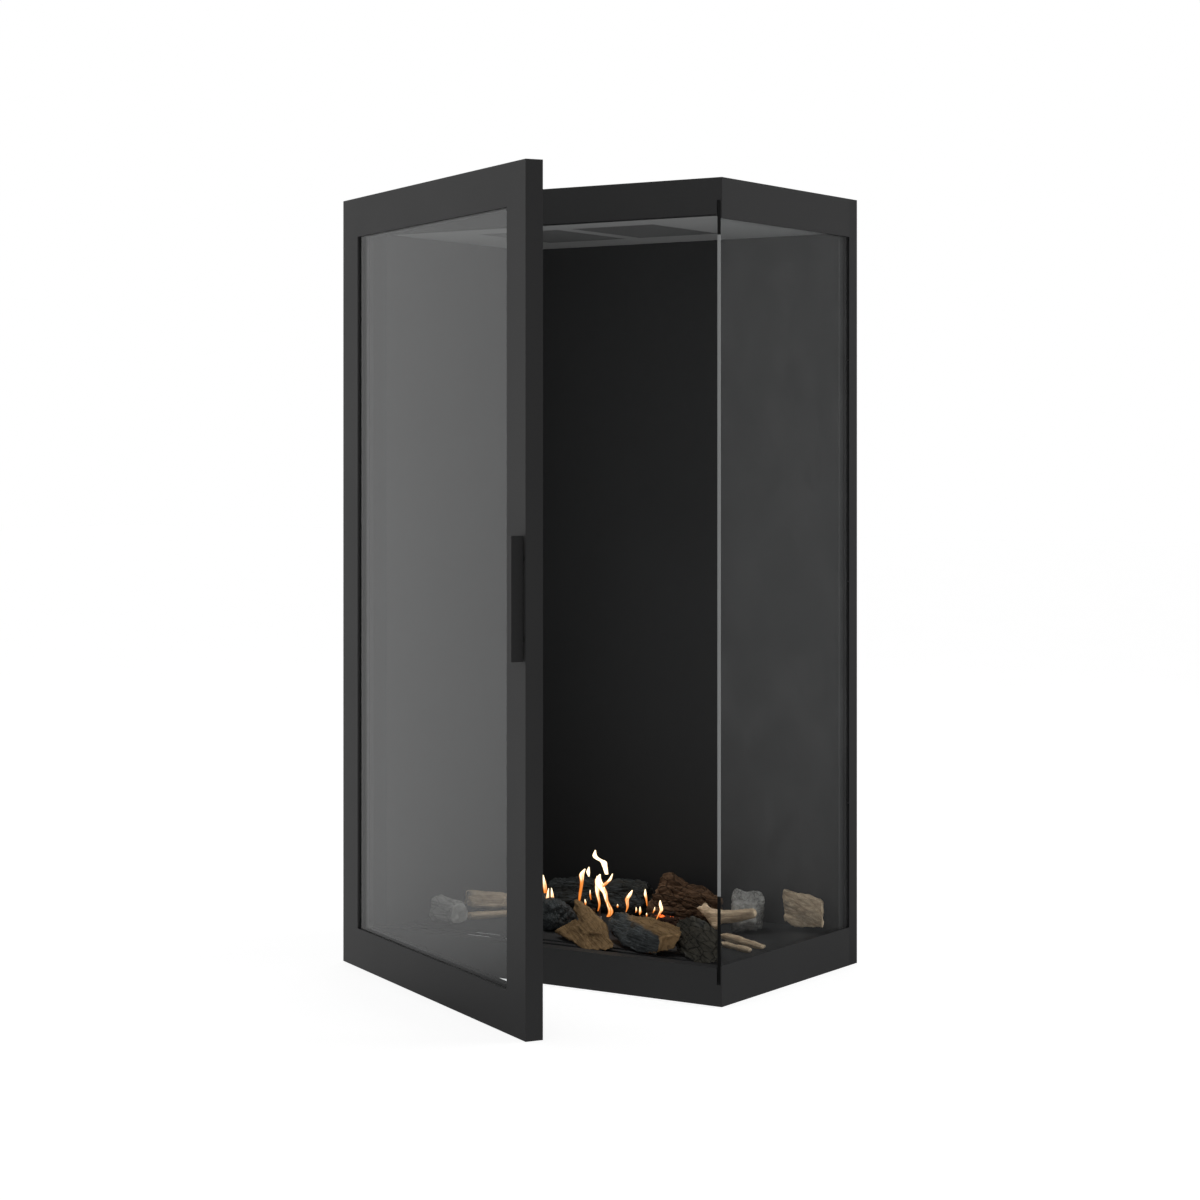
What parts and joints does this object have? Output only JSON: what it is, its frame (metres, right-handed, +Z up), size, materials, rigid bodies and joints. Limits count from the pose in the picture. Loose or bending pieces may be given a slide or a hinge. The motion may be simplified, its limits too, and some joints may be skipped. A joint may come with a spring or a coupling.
{
  "type": "corner gas fireplace",
  "caption": "Tall built-in corner gas fireplace with a hinged glazed front door, a fixed glass side, a slotted chamber, ceramic logs and top relief flaps.",
  "frame": {"origin": "centre of the underside of the body, on the surface it stands on", "axes": "+Z up along the body's height, -Y out of the front (door side), +X to the glass side"},
  "size_m": [0.6275, 0.7108, 1.1],
  "materials": {
    "band_paint": "fine satin anthracite heat-proof powder coat",
    "casing_paint": "satin anthracite powder coat on sheet steel",
    "chamber_paint": "matt black heat-proof paint",
    "ceiling_paint": "matt dark grey heat-proof paint",
    "grille_paint": "matt black heat-proof paint",
    "handle_paint": "satin black powder coat",
    "fire_glass": "clear heat-proof glass with a faint grey cast",
    "seal_rope": "black braided glass-fibre rope",
    "pipe_metal": "plain stainless",
    "brass_fitting": "plain machined brass",
    "electrode_ceramic": "glazed white ceramic sleeve",
    "screw_steel": "blackened steel",
    "hinge_steel": "blackened turned steel",
    "ember": "loose ceramic embers, red-brown and black",
    "log_charred": "ceramic cast as charred wood, blue-black with grey bloom",
    "log_bark": "ceramic cast as cracked red-brown bark",
    "log_split": "ceramic cast as pale split wood with grain",
    "log_ash": "ceramic cast as ash-grey burnt wood"
  },
  "bodies": {
    "fire_body": {"back_casing": "casing_paint", "back_liner": "chamber_paint", "base_pan": "casing_paint", "burner_plate": "chamber_paint", "burner_tray": "chamber_paint", "casing_screws": "screw_steel", "catch_magnets": "screw_steel", "ceiling_grille_left": "grille_paint", "ceiling_grille_right": "grille_paint", "chamber_ceiling": "ceiling_paint", "chamber_floor": "chamber_paint", "ember_bed": "ember", "flame_sensor": "pipe_metal", "flap_hinges": "screw_steel", "floor_rails": "casing_paint", "flue_collar_inner": "pipe_metal", "flue_collar_outer": "pipe_metal", "front_bottom_band": "band_paint", "front_top_band": "band_paint", "gas_injector": "brass_fitting", "gas_inlet_fitting": "brass_fitting", "gas_pipe": "pipe_metal", "glass_channel_rear": "chamber_paint", "glass_ledge_bottom": "chamber_paint", "glass_ledge_top": "chamber_paint", "hinge_blocks": "hinge_steel", "ignition_electrode": "electrode_ceramic", "left_casing": "casing_paint", "left_jamb": "chamber_paint", "left_liner": "chamber_paint", "log_fork_pale": "log_split", "log_front_left_split": "log_split", "log_front_middle_split": "log_split", "log_front_right_charred": "log_charred", "log_left_charred": "log_charred", "log_left_round": "log_ash", "log_left_split": "log_split", "log_rear_bark": "log_bark", "log_rear_charred": "log_charred", "log_right_ash": "log_ash", "log_right_split": "log_split", "log_stick_left": "log_split", "log_stick_right_long": "log_split", "log_stick_right_short": "log_split", "pilot_burner": "pipe_metal", "side_bottom_band": "band_paint", "side_glass": "fire_glass", "side_top_band": "band_paint", "top_casing": "casing_paint"},
    "door": {"door_backing_frame": "band_paint", "door_frame": "band_paint", "door_glass": "fire_glass", "door_seal": "seal_rope", "glass_retainer": "chamber_paint", "glass_seal": "seal_rope", "handle_bar": "handle_paint", "handle_spacers": "handle_paint", "hinge_pins": "hinge_steel"},
    "flap_left": {"relief_flap_left": "casing_paint"},
    "flap_right": {"relief_flap_right": "casing_paint"}
  },
  "joints": [
    {"name": "door_hinge", "type": "hinge", "parent": "fire_body", "child": "door", "pos_m": [-0.301, -0.18155, 0], "axis": [0, 0, -1], "range_deg": [-29.2, 70.8]},
    {"name": "flap_left_hinge", "type": "hinge", "parent": "fire_body", "child": "flap_left", "pos_m": [-0.19, 0.0938, 1.0931], "axis": [-1, 0, 0], "range_deg": [0, 60]},
    {"name": "flap_right_hinge", "type": "hinge", "parent": "fire_body", "child": "flap_right", "pos_m": [0.19, 0.0938, 1.0931], "axis": [-1, 0, 0], "range_deg": [0, 60]}
  ]
}
